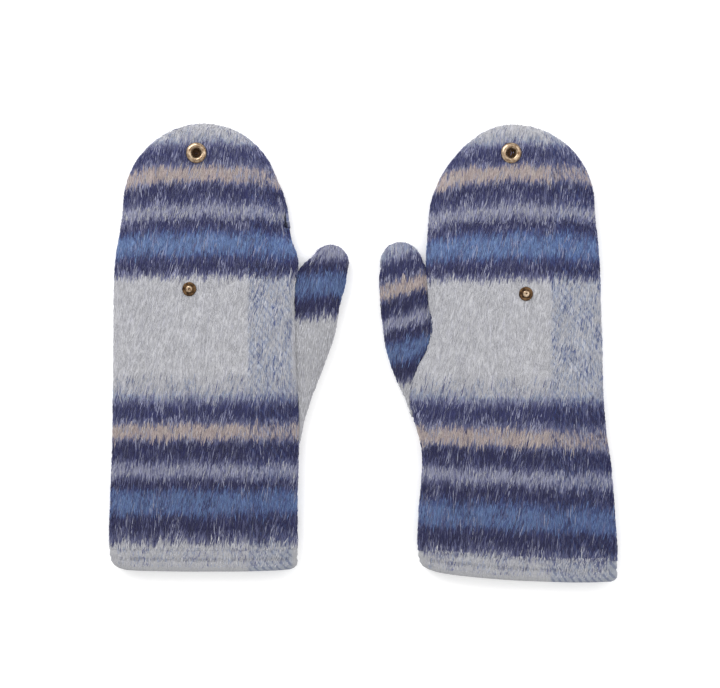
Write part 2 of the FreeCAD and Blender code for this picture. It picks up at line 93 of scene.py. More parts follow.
# Rows and columns of the cloth grids.
END_ROWS = 44
BACK_ROWS, BACK_COLUMNS = 170, 84
PALM_ROWS, PALM_COLUMNS = 120, 60
CAP_PALM_ROWS, CAP_PALM_COLUMNS = 40, 64
LOOP_COLUMNS, HEM_ROWS, HEM_COLUMNS = 56, 12, 72
CAP_LINING_ROWS, CAP_LINING_COLUMNS, CAP_LINING_END_ROWS = 14, 48, 26
THUMB_ROWS, THUMB_COLUMNS, THUMB_END_ROWS = 74, 40, 26

# The brushed nap: locks of wool, in millimetres, and how many lie on each piece.
LOCK_LENGTHS = (2.4, 5.6)
LONG_LOCK_LENGTHS = (6.0, 11.0)
THUMB_LOCK_LENGTHS = (2.5, 5.5)
HEM_LOCK_LENGTHS = (2.0, 5.0)
LOCK_WIDTHS = (0.18, 0.5)
LOCK_LIFT = 0.5
PALM_LOCK_LIFT = 0.3
NAP_LEAN = 0.16
HAND_LOCKS, CAP_LOCKS = 19000, 5200
LOCKS_PER_LONG_ONE = 13
PALM_LOCKS, CAP_PALM_LOCKS = 6000, 3500
THUMB_BACK_LOCKS, THUMB_PALM_LOCKS = 2400, 900
HEM_LOCKS = 1500
HEM_NAP_MARGIN = 12
LOCK_POINTS = 7
LOCK_FACES = ((0, 1, 2), (0, 3, 4, 1), (1, 4, 5, 2), (2, 5, 3, 0), (3, 6, 4), (4, 6, 5), (5, 6, 3))
NO_BAND = (0, 0)

# The snaps' closed profiles, as (radius, height over the base) in millimetres.
RING_PROFILE = [
    (4.5, 0.05), (2.75, 0.05), (2.4, 0.1), (2.4, 0.7), (2.6, 0.95), (2.95, 1.15), (3.35, 1.5),
    (3.9, 1.72), (4.5, 1.68), (5.2, 1.4), (5.75, 0.95), (6.0, 0.45), (6.0, 0.05),
]
WELL_PROFILE = [
    (0.02, 0.1), (0.02, 0.2), (1.6, 0.22), (2.2, 0.42), (2.5, 0.72), (2.62, 0.6), (2.6, 0.1),
]
STUD_PROFILE = [
    (2.8, 0.05), (1.3, 0.2), (0.3, 0.4), (0.3, 2.4), (0.7, 2.58), (1.35, 2.52), (1.8, 2.3),
    (1.95, 1.95), (1.9, 1.65), (1.65, 1.4), (1.6, 1.1), (1.7, 0.75), (2.1, 0.62), (2.7, 0.68),
    (3.4, 0.8), (3.85, 0.72), (4.1, 0.4), (4.1, 0.05),
]
LATHE_SEGMENTS = 56

# The view, straight down on the pair, and the light.
IMAGE_WIDTH = 415.4 * MM
LENS = 85.0
SENSOR = 36.0
VIEW_CENTRE = (-2.0 * MM, 5.2 * MM, 12.0 * MM)
FLOOR_REACH = 4.0
WORLD_LIGHT = 0.8

# Each station is (y, x of the left edge, x of the right edge), from the cuff up to the fingers.
PLANS = {
    "left": {
        "back": [
            (-125.4, -55.6, 52.9), (-110, -55.9, 53.0), (-90, -55.3, 52.7), (-50, -53.9, 53.5),
            (-26, -53.6, 53.2), (-3, -53.4, 52.3), (21, -53.2, 51.5), (40, -52.9, 51.6),
            (52, -52.3, 53.2), (60, -51.2, 51.6), (67, -49.9, 47.8), (73, -49.0, 45.0), (79, -48.2, 45.0),
            (85, -47.5, 46.2),
        ],
        "palm": [
            (-125.4, -55.6, 52.9), (-90, -55.3, 52.7), (-50, -53.9, 53.5), (21, -53.2, 52.4),
            (52, -52.3, 53.2), (60, -51.2, 51.9), (67, -49.9, 50.0), (76, -48.6, 48.3), (85, -47.5, 46.8),
        ],
        "end_height": 47.7,
        "hinge_x": -6.9,
        "shoulder": (0.0, 0.075, 3.0),
        "cuff_slant": 0.0,
        "cuff_bow": 0.9,
        "pattern": [
            (-125.4, 97.5), (-110.1, 82.7), (-99.5, 76.5), (-79.6, 57.1), (-74.6, 50.8), (-68.6, 44.8),
            (-45.2, 23.0), (-33.0, 8.7),
            (53.7, -76.2), (104.4, -126.9),
            (115.9, -139.6), (120.0, -145.5), (126.0, -152.0), (134.0, -160.0),
        ],
        "thumb": [
            ((52.8, -52.0), (54.2, -52.5)), ((52.8, -40.0), (56.4, -40.5)),
            ((52.4, -26.0), (60.8, -26.5)), ((51.8, -7.5), (67.8, -8.0)),
            ((51.0, 14.4), (74.4, 11.0)), ((51.2, 36.4), (77.6, 29.4)),
            ((54.6, 49.0), (80.5, 39.6)), ((62.5, 56.4), (81.6, 48.1)),
        ],
        "thumb_end": 10.6,
        "thumb_mark": 102.5,
        "thumb_scale": 1.0,
        "thumb_tilt": 0.05,
        "thumb_range": (44.5, 135.0),
        "arch": (5.0, 5.5),
        "corners": (9.0, 4.5),
        "plaid": (25.0, 50.0),
    },
    "right": {
        "back": [
            (-129.3, -55.2, 60.0), (-112, -55.6, 59.8), (-90, -54.6, 58.2), (-73, -52.9, 57.0),
            (-61, -52.9, 55.8), (-49, -55.0, 53.9), (-38, -58.4, 52.7), (-27, -60.2, 51.7),
            (-9, -56.0, 51.1), (0, -50.9, 51.0), (14, -47.8, 50.6), (29, -49.3, 50.0), (48, -50.6, 49.6),
            (57, -50.6, 48.9), (66, -49.9, 48.2), (76, -49.3, 47.0), (85, -48.2, 46.4),
        ],
        "palm": [
            (-129.3, -55.2, 60.0), (-90, -54.6, 58.2), (-61, -52.9, 55.8), (-40, -54.6, 52.8),
            (0, -52.2, 51.0), (57, -50.6, 48.9), (76, -49.3, 47.0), (85, -48.2, 46.4),
        ],
        "end_height": 47.2,
        "hinge_x": 2.0,
        "shoulder": (0.21, 0.0, 1.0),
        "cuff_slant": -3.35,
        "cuff_bow": 2.2,
        "pattern": [
            (-129.3, 92.0), (-118.6, 82.7), (-107.2, 76.0), (-95.8, 63.8), (-89.0, 57.5), (-76.2, 48.5),
            (-72.0, 44.5), (-49.2, 23.0), (-34.0, 8.7),
            (51.9, -76.2), (103.9, -125.7), (114.9, -139.6), (121.5, -148.0), (132.0, -160.0),
        ],
        "thumb": [
            ((-59.2, -37.0), (-57.8, -37.3)), ((-62.2, -28.0), (-57.4, -27.6)),
            ((-69.2, -12.1), (-55.0, -11.0)), ((-73.8, 3.0), (-49.6, 2.0)),
            ((-75.9, 17.0), (-47.2, 14.5)), ((-77.4, 34.0), (-49.2, 32.0)),
            ((-77.7, 43.0), (-49.8, 46.5)), ((-76.9, 49.5), (-53.6, 54.2)),
        ],
        "thumb_end": 12.5,
        "thumb_mark": 64.9,
        "thumb_scale": 1.09,
        "thumb_tilt": 0.3,
        "thumb_range": (1.0, 86.0),
        "arch": (8.0, 3.0),
        "corners": (9.0, 4.0),
        "plaid": (21.0, 60.0),
    },
}

# The check repeats every PATTERN_LENGTH millimetres. Stops are (place in the repeat, wool).
PATTERN_LENGTH = 148.9
CHECK_STOPS = [
    (0.0, "mist"), (3.8, "slate"), (7.4, "navy"), (12.8, "navy"), (16.8, "slate"), (20.5, "pink"),
    (25.5, "pink"), (28.0, "slate"), (30.0, "deep_navy"), (37.0, "navy"), (40.0, "slate"), (42.5, "lilac"),
    (46.0, "lilac"), (48.5, "slate"), (51.0, "deep_navy"), (54.5, "navy"), (57.5, "steel"), (60.0, "blue"),
    (67.0, "blue"), (70.0, "steel"), (72.0, "navy"), (77.5, "deep_navy"), (81.0, "slate"), (84.5, "grey"),
    (136.0, "grey"), (143.0, "ash"),
]
WOOL_COLOURS = {
    "grey": (188, 188, 192), "ash": (175, 175, 181), "pale": (198, 198, 204), "navy": (53, 56, 97),
    "deep_navy": (41, 42, 79), "pink": (172, 158, 156), "cream": (184, 174, 169), "lilac": (146, 148, 169),
    "blue": (98, 120, 163), "sky": (120, 144, 184), "steel": (72, 86, 132), "slate": (92, 95, 130),
    "frost": (150, 152, 180), "mist": (146, 154, 174),
}

# What loose fibres lie on cloth of each colour, and their shares.
WOOL_MIX = {
    "grey": {"grey": 0.56, "ash": 0.32, "pale": 0.12},
    "ash": {"ash": 0.55, "grey": 0.25, "mist": 0.2},
    "mist": {"mist": 0.4, "ash": 0.3, "lilac": 0.3},
    "slate": {"slate": 0.45, "lilac": 0.3, "navy": 0.15, "frost": 0.1},
    "navy": {"navy": 0.58, "deep_navy": 0.25, "slate": 0.15, "frost": 0.02},
    "deep_navy": {"deep_navy": 0.7, "navy": 0.22, "slate": 0.08},
    "band": {"ash": 0.36, "grey": 0.2, "mist": 0.26, "lilac": 0.1, "steel": 0.08},
    "pink": {"pink": 0.6, "cream": 0.3, "lilac": 0.1},
    "band_pink": {"pink": 0.4, "lilac": 0.28, "slate": 0.22, "navy": 0.1},
    "lilac": {"lilac": 0.5, "frost": 0.2, "ash": 0.15, "slate": 0.15},
    "steel": {"steel": 0.5, "blue": 0.25, "navy": 0.25},
    "blue": {"blue": 0.58, "sky": 0.2, "steel": 0.2, "frost": 0.02},
    "soft_navy": {"navy": 0.62, "slate": 0.28, "deep_navy": 0.06, "frost": 0.04},
    "pale_lilac": {"lilac": 0.42, "ash": 0.33, "frost": 0.2, "slate": 0.05},
    "ink": {"deep_navy": 0.72, "navy": 0.2, "slate": 0.08},
    "dusk": {"slate": 0.55, "navy": 0.25, "lilac": 0.2},
    "denim": {"blue": 0.5, "steel": 0.4, "navy": 0.1},
}

# In the plaid band the grey, pink, navy and slate stripes have mixes of their own.
IN_BAND = {"grey": "band", "pink": "band_pink", "navy": "ink", "slate": "dusk"}

# Near the fingertips the stripes' fibres are picked paler, and near the cuff darker: painted light at the
# tips and painted shade at the cuff.
TIP_PAINTED_LIGHT = {"navy": "soft_navy", "deep_navy": "navy", "lilac": "pale_lilac"}
CUFF_PAINTED_SHADE_FROM = 20.0
CUFF_PAINTED_SHADE = {"navy": "ink", "deep_navy": "ink", "slate": "dusk", "blue": "denim"}

# The few long fibres that cross from stripe to stripe.
LONG_MIX = {cloth: {"slate": 0.8, "lilac": 0.2} for cloth in WOOL_MIX}
LONG_MIX["grey"] = {"ash": 0.6, "pale": 0.4}
LONG_MIX["pink"] = {"cream": 0.6, "lilac": 0.4}

# The turned hem has one flecked mix all over.
HEM_MIX = {
    cloth: {"ash": 0.44, "grey": 0.18, "mist": 0.16, "lilac": 0.13, "slate": 0.09}
    for cloth in WOOL_MIX
}
PALE_HAIRS, DARK_GAPS = (176, 176, 194), (84, 86, 118)
BAND_TINT, BAND_DASH = (232, 238, 248), (74, 88, 132)
UV_PER_MM = 0.01


def add_object(name, data):
    """A new object with this data, linked into the scene."""
    thing = bpy.data.objects.new(name, data)
    bpy.context.scene.collection.objects.link(thing)
    return thing


def linear(colour):
    """An 8-bit sRGB colour as linear RGBA."""
    values = [c / 255 for c in colour]
    return [v / 12.92 if v <= 0.04045 else ((v + 0.055) / 1.055) ** 2.4 for v in values] + [1.0]


# ---- materials


class Nodes:
    """Short calls for building one material's node tree."""

    def __init__(self, name):
        self.material = bpy.data.materials.new(name)
        self.material.use_nodes = True
        self.tree = self.material.node_tree
        self.shader = self.tree.nodes["Principled BSDF"]

    def join(self, value, socket):
        """Links a socket, or sets a plain value."""
        if isinstance(value, bpy.types.NodeSocket):
            self.tree.links.new(value, socket)
        else:
            socket.default_value = value

    def add(self, kind, *values):
        """A new node, with values for its first inputs."""
        node = self.tree.nodes.new("ShaderNode" + kind)
        for value, socket in zip(values, node.inputs):
            self.join(value, socket)
        return node

    def math(self, operation, first, second=0.0, third=0.0):
        node = self.add("Math", first, second, third)
        node.operation = operation
        return node.outputs[0]

    def smooth(self, value, low, high, to_low=0.0, to_high=1.0):
        node = self.add("MapRange", value, low, high, to_low, to_high)
        node.interpolation_type = "SMOOTHSTEP"
        return node.outputs[0]

    def point(self, x, y, z=0.0):
        return self.add("CombineXYZ", x, y, z).outputs[0]

    def noise(self, vector, scale, detail=2.0):
        node = self.add("TexNoise", vector)
        node.inputs["Scale"].default_value = scale
        node.inputs["Detail"].default_value = detail
        return node.outputs["Fac"]

    def mix(self, factor, first, second, blend="MIX"):
        node = self.add("Mix")
        node.data_type = "RGBA"
        node.blend_type = blend
        self.join(factor, node.inputs[0])
        self.join(first, node.inputs[6])
        self.join(second, node.inputs[7])
        return node.outputs[2]

    def ramp(self, factor, stops):
        """stops are (place from 0 to 1, linear RGBA)."""
        node = self.add("ValToRGB", factor)
        elements = node.color_ramp.elements
        while len(elements) < len(stops):
            elements.new(1.0)
        for element, (place, colour) in zip(elements, stops):
            element.position = place
            element.color = colour
        return node.outputs[0]

    def bump(self, height, distance, strength=1.0):
        node = self.add("Bump")
        node.inputs["Strength"].default_value = strength
        node.inputs["Distance"].default_value = distance
        self.join(height, node.inputs["Height"])
        self.dress({"Normal": node.outputs[0]})

    def pattern_place(self):
        """The cloth's own coordinates in millimetres: across the glove and along the check."""
        source = self.add("UVMap")
        source.uv_map = "cloth"
        split = self.add("SeparateXYZ", source.outputs[0])
        return [self.math("MULTIPLY", s, 1 / UV_PER_MM) for s in split.outputs[:2]]

    def object_place(self):
        """Coordinates in metres from the piece's own origin."""
        return self.add("TexCoord").outputs["Object"]

    def dress(self, looks):
        """Sets or links the shader's own inputs by name."""
        for name, value in looks.items():
            self.join(value, self.shader.inputs[name])

    def wool(self, roughness=0.95, sheen=0.25):
        self.dress({"Roughness": roughness, "Specular IOR Level": 0.15})
        self.dress({"Sheen Weight": sheen, "Sheen Roughness": 0.5})


def twill_band(nodes, colour, across, along, plaid):
    """The check with a band of broken blue twill between the two places of plaid."""
    low, high = plaid
    past_low = nodes.smooth(across, low - 1.5, low + 1.5)
    before_high = nodes.smooth(across, high + 1.5, high - 1.5)
    in_band = nodes.math("MULTIPLY", past_low, before_high)
    slope = nodes.math("MULTIPLY_ADD", along, -0.8, across)
    twill = nodes.math("SINE", nodes.math("MULTIPLY", slope, 1.55))
    broken = nodes.noise(nodes.point(across, along, 5.0), 0.42)
    dashes = nodes.smooth(nodes.math("MULTIPLY_ADD", broken, 3.0, twill), 1.6, 2.3, 0.0, 0.5)
    band_colour = nodes.mix(1.0, colour, linear(BAND_TINT), "MULTIPLY")
    band_colour = nodes.mix(dashes, band_colour, linear(BAND_DASH))
    return nodes.mix(in_band, colour, band_colour)


def check_material(name, plaid, shade=1.0):
    """Brushed check: stripes whose borders are drawn out by the nap, and a twill band along the glove."""
    nodes = Nodes(name)
    across, along = nodes.pattern_place()
    leaning = nodes.math("MULTIPLY_ADD", along, NAP_LEAN, across)

    def hairs(stretch, layer, scale, detail=2.0):
        return nodes.noise(
            nodes.point(leaning, nodes.math("MULTIPLY", along, stretch), layer), scale, detail
        )

    fine = hairs(0.11, 0.0, 0.95, 3.0)
    wander = nodes.noise(nodes.point(across, along, 80.0), 0.035, 1.0)
    drawn = along
    for pull, reach in ((fine, 10.0), (hairs(0.2, 40.0, 0.33), 6.0), (wander, 5.0)):
        drawn = nodes.math("MULTIPLY_ADD", nodes.math("SUBTRACT", pull, 0.5), reach, drawn)
    place = nodes.math("FRACT", nodes.math("DIVIDE", drawn, PATTERN_LENGTH))
    stops = [(spot / PATTERN_LENGTH, linear(WOOL_COLOURS[wool])) for spot, wool in CHECK_STOPS]
    colour = nodes.ramp(place, stops)

    pale = hairs(0.07, 11.0, 1.15)
    colour = nodes.mix(nodes.smooth(pale, 0.56, 0.72, 0.0, 0.42), colour, linear(PALE_HAIRS))
    gaps = hairs(0.12, 23.0, 1.3)
    colour = nodes.mix(nodes.smooth(gaps, 0.56, 0.75, 0.0, 0.3), colour, linear(DARK_GAPS))
    colour = twill_band(nodes, colour, across, along, plaid)

    speckle = nodes.noise(nodes.point(across, along, 60.0), 1.7, 3.0)
    # Painted shade: the check darkens by a fifth from the fingers towards the cuff, over its random
    # speckle.
    painted_cuff_shade = nodes.smooth(along, -10.0, 30.0, shade, 0.8 * shade)
    tone = nodes.math("MULTIPLY", nodes.smooth(speckle, 0.25, 0.75, 0.86, 1.14), painted_cuff_shade)
    colour = nodes.mix(1.0, colour, nodes.point(tone, tone, tone), "MULTIPLY")
    nodes.dress({"Base Color": colour})
    height = nodes.math("MULTIPLY_ADD", fine, 0.8, nodes.math("MULTIPLY", speckle, 0.5))
    nodes.bump(nodes.math("MULTIPLY_ADD", pale, 0.6, height), 1.1 * MM, 0.8)
    nodes.wool()
    return nodes.material


def fleece_material():
    """Dark lining fleece with a fine pebbled pile."""
    nodes = Nodes("lining_fleece")
    across, along = nodes.pattern_place()
    pile = nodes.noise(nodes.point(across, along), 0.8, 4.0)
    colour = nodes.ramp(pile, [(0.3, linear((44, 48, 74))), (0.7, linear((70, 76, 108)))])
    nodes.dress({"Base Color": colour})
    nodes.bump(pile, 0.9 * MM, 0.8)
    nodes.wool(0.98, 0.35)
    return nodes.material


def lock_material(name, colour):
    """One colour of loose wool fibre. Its fine grain is in the bump and the roughness."""
    nodes = Nodes("wool_" + name)
    nodes.wool(0.9, 0.3)
    grain = nodes.noise(nodes.object_place(), 2500.0)
    nodes.dress({"Base Color": linear(colour), "Roughness": nodes.smooth(grain, 0.3, 0.7, 0.8, 1.0)})
    nodes.bump(grain, 0.15 * MM, 0.4)
    return nodes.material


def brass_material(name, bright, dark, roughness):
    """Brass: dark patina where the noise is low, rubbed brighter elsewhere."""
    nodes = Nodes(name)
    place = nodes.object_place()
    patina = nodes.noise(place, 520.0, 4.0)
    colour = nodes.ramp(patina, [(0.35, linear(dark)), (0.62, linear(bright))])
    scratches = nodes.noise(place, 1800.0, 3.0)
    rough = nodes.smooth(scratches, 0.3, 0.7, *roughness)
    nodes.dress({"Base Color": colour, "Metallic": 1.0, "Roughness": rough})
    nodes.bump(patina, 0.05 * MM, 0.5)
    return nodes.material


# ---- surfaces


def smooth_line(places, values, at):
    """A smooth curve through values at places (Catmull-Rom, not evenly spaced)."""
    places = np.asarray(places, float)
    values = np.asarray(values, float)
    slopes = np.gradient(values, places)
    index = np.clip(np.searchsorted(places, at) - 1, 0, len(places) - 2)
    step = places[index + 1] - places[index]
    f = (at - places[index]) / step
    return (
        (2 * f**3 - 3 * f**2 + 1) * values[index]
        + (f**3 - 2 * f**2 + f) * step * slopes[index]
        + (-2 * f**3 + 3 * f**2) * values[index + 1]
        + (f**3 - f**2) * step * slopes[index + 1]
    )


def fold_distance(glove, x, y):
    """How far a point lies past the glove's fold line towards the fingertips, in millimetres."""
    hinge, up = glove.hinge, glove.up
    return (x - hinge[0]) * up[0] + (y - hinge[1]) * up[1]


def undulation(glove, x, y):
    """Soft unevenness of cloth that lies loose, in millimetres."""
    seed = glove.seed
    return (
        0.42 * np.sin(x / 15.0 + 1.3 * seed) * np.sin(y / 23.0 + seed)
        + 0.3 * np.sin(x / 8.5 - y / 17.0 + 2.1 * seed)
        + 0.22 * np.sin(x / 5.0 + y / 12.0 + 0.7 * seed)
    )


def rise(distance, roll):
    """Quarter-round roll of cloth: 0 at the edge and 1 from roll inwards."""
    f = np.clip(distance / roll, 0, 1)
    return np.sqrt(np.clip(1 - (1 - f) ** 2, 0, 1))


def back_height(glove, x, y, distance):
    """Height of the back's outer surface."""
    toward_cuff = np.clip((glove.hem_y + 70.0 - y) / 70.0, 0, 1)
    crown = CROWN + (CUFF_CROWN - CROWN) * toward_cuff**2 + undulation(glove, x, y)
    crown = crown - FOLD_DIP * np.exp(-((fold_distance(glove, x, y) / 7.0) ** 2))
    for centre in glove.snaps:
        reach = np.hypot(x - centre[0], y - centre[1])
        crown = crown + (CROWN - 0.15 - crown) * np.exp(-((reach / SNAP_SEAT) ** 4))
        crown = crown - SNAP_PUCKER * np.exp(-(((reach - SNAP_SEAT) / 3.0) ** 2))
    full = np.minimum(crown, CROWN + 0.1) - glove.seam_z
    return glove.seam_z + full * rise(distance, BACK_ROLL)


def palm_height(glove, x, y, distance):
    """Height of the palm's outer surface, lifted where the cap's tongue lies under it."""
    fold = fold_distance(glove, x, y)
    over_tongue = np.clip((fold + TONGUE_LENGTH + 10.5) / 10.0, 0, 1)
    bottom = FLOOR_GAP + TONGUE_LIFT * over_tongue**2 * (3 - 2 * over_tongue)
    return glove.seam_z - 0.1 - (glove.seam_z - bottom) * rise(distance, PALM_ROLL)


def cap_palm_height(glove, x, y, distance):
    """Height of the cap's palm side. Its tongue stays flat under the palm."""
    fold = fold_distance(glove, x, y)
    side_wall = np.clip((fold - 0.2) / 3.0, 0, 1)
    edge = 1.6 + (glove.seam_z - 0.1 - 1.6) * side_wall**2 * (3 - 2 * side_wall)
    return edge - (edge - FLOOR_GAP) * rise(distance, PALM_ROLL)


def rounded_end(left, right, s, end_height, end_rows, shoulder):
    """Rows of an elliptical end past the line from left to right, and their distance to the edge."""
    middle, half = (left + right) / 2, (right - left) / 2
    width = np.hypot(*half)
    q = np.sin(np.linspace(0, 1, end_rows + 1)[1:] * math.pi / 2)[:, None]
    sideways = s[None, :] * np.sqrt(1 - q**2 / 2)
    forward = q * np.sqrt(1 - s[None, :] ** 2 / 2)
    ahead = np.array([-half[1], half[0]]) / width * end_height
    slope = np.where(sideways < 0, shoulder[0], shoulder[1])
    drawn_in = sideways * (1 - slope * np.clip(forward * shoulder[2], 0, 1))
    tip = middle + drawn_in[..., None] * half + forward[..., None] * ahead
    return tip, np.maximum((1 - np.hypot(sideways, forward)) * min(width, end_height), 0)


def strip_plan(stations, end_height, rows, columns, end_rows, shoulder=(0.0, 0.0, 1.0)):
    """A plan made of stations (left point, right point), with a rounded end past the last one.
    shoulder says how much narrower the end is on its left and right, and how soon.
    Returns x, y and the distance to the edge, as grids of rows from the foot to the end."""
    ends = np.array(stations, float)
    steps = np.hypot(*np.diff(ends.mean(1), axis=0).T)
    places = np.concatenate([[0], np.cumsum(steps)])
    at = np.linspace(0, places[-1], rows + 1)
    left, right = (
        np.stack([smooth_line(places, ends[:, e, c], at) for c in (0, 1)], 1) for e in (0, 1)
    )
    s = np.sin(np.linspace(-1, 1, columns + 1) * math.pi / 2)
    middle, half = (left + right) / 2, (right - left) / 2
    grid = middle[:, None, :] + half[:, None, :] * s[None, :, None]
    distance = np.hypot(half[:, 0], half[:, 1])[:, None] * (1 - np.abs(s))[None, :]
    if end_rows:
        tip, inside = rounded_end(left[-1], right[-1], s, end_height, end_rows, shoulder)
        grid = np.concatenate([grid, tip])
        distance = np.concatenate([distance, inside])
    return grid[..., 0], grid[..., 1], distance


def foot_share(plan, y):
    """0 from CUFF_SHAPE_FROM upwards, and 1 at the cuff's foot."""
    return np.clip((CUFF_SHAPE_FROM - y) / (CUFF_SHAPE_FROM - plan["back"][0][0]), 0, 1)


def hand_sides(glove, which, at):
    """The hand's left and right edges at places along y."""
    y, x_left, x_right = np.array(glove.plan[which], float).T
    return [smooth_line(y, x, at) + glove.centre_x for x in (x_left, x_right)]


def hand_stations(glove, which, low, high):
    """Stations of the hand between two places along y, as pairs of plan points."""
    plan = glove.plan
    y = np.array(plan[which], float)[:, 0]
    places = np.concatenate([[low], y[(y > low) & (y < high)], [high]])
    left, right = hand_sides(glove, which, places)
    slant = plan["cuff_slant"] * foot_share(plan, places)
    return [((a, p - k), (b, p + k)) for a, b, p, k in zip(left, right, places, slant)]


def cuff_bow(glove, x, y):
    """How far the cuff's rows sag towards the foot in the middle of the glove."""
    plan = glove.plan
    middle = np.clip(1 - ((x - glove.centre_x) / HALF_HAND) ** 2, 0, 1)
    return plan["cuff_bow"] * middle * foot_share(plan, y) ** 3


def normals_of(points):
    """Unit normals of a grid of points, from its rows and columns."""
    along = np.gradient(points, axis=0)
    across = np.gradient(points, axis=1)
    normal = np.cross(across, along)
    length = np.linalg.norm(normal, axis=2, keepdims=True)
    return normal / np.maximum(length, 1e-12)


def cloth_place(glove, x, y):
    """The check's own coordinates for plan points: across, and along the repeat."""
    plan = glove.plan
    across = x - glove.centre_x
    straight = y - plan["cuff_slant"] * foot_share(plan, y) * across / HALF_HAND
    spots, marks = zip(*plan["pattern"])
    toward_tip = np.clip((y - CUFF_SHAPE_FROM) / ARCH_LENGTH, 0, 1)
    left_arch, right_arch = plan["arch"]
    side_arch = np.where(across < 0, left_arch, right_arch)
    arch = side_arch * (across / ARCH_HALF_WIDTH) ** 2 * toward_tip
    return np.stack([across, np.interp(straight, spots, marks) - arch], -1)


def thumb_cloth_place(glove, x, y):
    """The thumb's own cut of the same check, a little tilted."""
    plan = glove.plan
    across = x - glove.centre_x
    middle = np.mean([point[0] for pair in plan["thumb"] for point in pair])
    straight = y - plan["thumb_tilt"] * (across - middle)
    along = np.clip(plan["thumb_mark"] - plan["thumb_scale"] * straight, *plan["thumb_range"])
    return np.stack([across, along], -1)


def mesh_object(name, points, faces, uvs, materials, face_materials=None, smooth=True):
    """An object from points in millimetres, with the cloth's coordinates at each point."""
    mesh = bpy.data.meshes.new(name)
    mesh.from_pydata((np.asarray(points) * MM).tolist(), [], faces)
    layer = mesh.uv_layers.new(name="cloth")
    corner = np.zeros(len(mesh.loops), np.int32)
    mesh.loops.foreach_get("vertex_index", corner)
    layer.data.foreach_set("uv", (np.asarray(uvs)[corner] * UV_PER_MM).astype(np.float32).ravel())
    for material in materials:
        mesh.materials.append(material)
    if face_materials is not None:
        mesh.polygons.foreach_set("material_index", np.asarray(face_materials, np.int32))
    mesh.polygons.foreach_set("use_smooth", np.full(len(mesh.polygons), smooth))
    mesh.update()
    return add_object(name, mesh)


def grid_faces(rows, columns, start=0, flip=False, close_rows=False, close_columns=False):
    """Quads over a grid of points numbered row by row from start."""
    row_count = rows if close_rows else rows - 1
    column_count = columns if close_columns else columns - 1
    i, j = np.meshgrid(np.arange(row_count), np.arange(column_count), indexing="ij")
    a = i * columns + j
    b = i * columns + (j + 1) % columns
    c = ((i + 1) % rows) * columns + (j + 1) % columns
    d = ((i + 1) % rows) * columns + j
    order = (a, d, c, b) if flip else (a, b, c, d)
    return (np.stack([k.ravel() for k in order], 1) + start).tolist()


def border(rows, columns):
    """Point numbers round a grid, once, counter-clockwise."""
    grid = np.arange(rows * columns).reshape(rows, columns)
    return np.concatenate([grid[0], grid[1:, -1], grid[-1, -2::-1], grid[-2:0:-1, 0]]).tolist()


def closed_sheet(name, outer, inner, uvs, material, flip=False):
    """A solid between two grids of points, with a rim round their edges."""
    rows, columns = outer.shape[:2]
    count = rows * columns
    faces = grid_faces(rows, columns, 0, flip) + grid_faces(rows, columns, count, not flip)
    edge = border(rows, columns)
    for a, b in zip(edge, edge[1:] + edge[:1]):
        faces.append((b, b + count, a + count, a) if flip else (a, a + count, b + count, b))
    both = np.concatenate([outer.reshape(-1, 3), inner.reshape(-1, 3)])
    return mesh_object(name, both, faces, np.concatenate([uvs.reshape(-1, 2)] * 2), [material])


def shell_object(name, points, uvs, thickness, material, flip=False):
    """A closed sheet of cloth: the outer grid, and an inner one set in by thickness."""
    inner = points - normals_of(points) * (-thickness if flip else thickness)
    return closed_sheet(name, points, inner, uvs, material, flip)


def stack3(x, y, z):
    return np.stack(np.broadcast_arrays(x, y, z), -1)


# ---- nap


def tuft(across, along):
    """How far the nap is drawn out here, in millimetres: pointed tufts a few millimetres wide."""
    fine = math.sin(2.3 * across + 0.3 * along) * math.sin(0.83 * across - 0.11 * along + 1.0)
    coarse = math.sin(0.41 * across + 0.07 * along + 2.0) * math.sin(0.19 * across + 0.05 * along)
    broken = math.sin(1.27 * across + 0.42 * along + 0.5)
    return 1.9 * fine + 1.5 * coarse + 0.9 * broken


def wool_at(mark, in_band, mixes, rng):
    """Names the wool of a fibre that lies at a place on the cloth."""
    across, along = mark
    spot = (along + tuft(across, along) + rng.normal(0, 0.8)) % PATTERN_LENGTH
    patch = math.sin(0.33 * across + 1.0) * math.sin(0.21 * along + 0.12 * across)
    index = max(i for i, stop in enumerate(CHECK_STOPS) if stop[0] <= spot)
    here = CHECK_STOPS[index]
    ahead = CHECK_STOPS[(index + 1) % len(CHECK_STOPS)]
    gap = (ahead[0] - here[0]) % PATTERN_LENGTH
    cloth = ahead[1] if spot - here[0] > gap / 2 else here[1]
    # Painted shade: darker fibre mixes towards the cuff. Painted light: paler ones towards the fingertips.
    if along > CUFF_PAINTED_SHADE_FROM:
        cloth = CUFF_PAINTED_SHADE.get(cloth, cloth)
    elif along < 0:
        cloth = TIP_PAINTED_LIGHT.get(cloth, cloth)
    if in_band:
        cloth = IN_BAND.get(cloth, cloth)
    chance = min(max(rng.random() + 0.28 * patch, 0.0), 0.99)
    for wool, share in mixes[cloth].items():
        chance -= share
        if chance <= 0:
            return wool
    return cloth


def nap_spots(points, uvs, count, rng):
    """Random spots on a grid of cloth, evenly by area: their places and their cloth coordinates."""
    spans = np.cross(points[1:, :-1] - points[:-1, :-1], points[:-1, 1:] - points[:-1, :-1])
    areas = np.linalg.norm(spans, axis=2).ravel()
    cells = rng.choice(len(areas), size=count, p=areas / areas.sum())
    i, j = np.divmod(cells, points.shape[1] - 1)
    f, g = rng.random((2, count))[..., None]
    weights = [((1 - f) * (1 - g), 0, 0), ((1 - f) * g, 0, 1), (f * (1 - g), 1, 0), (f * g, 1, 1)]
    centres = sum(w * points[i + di, j + dj] for w, di, dj in weights)
    marks = sum(w * uvs[i + di, j + dj] for w, di, dj in weights)
    return centres, marks


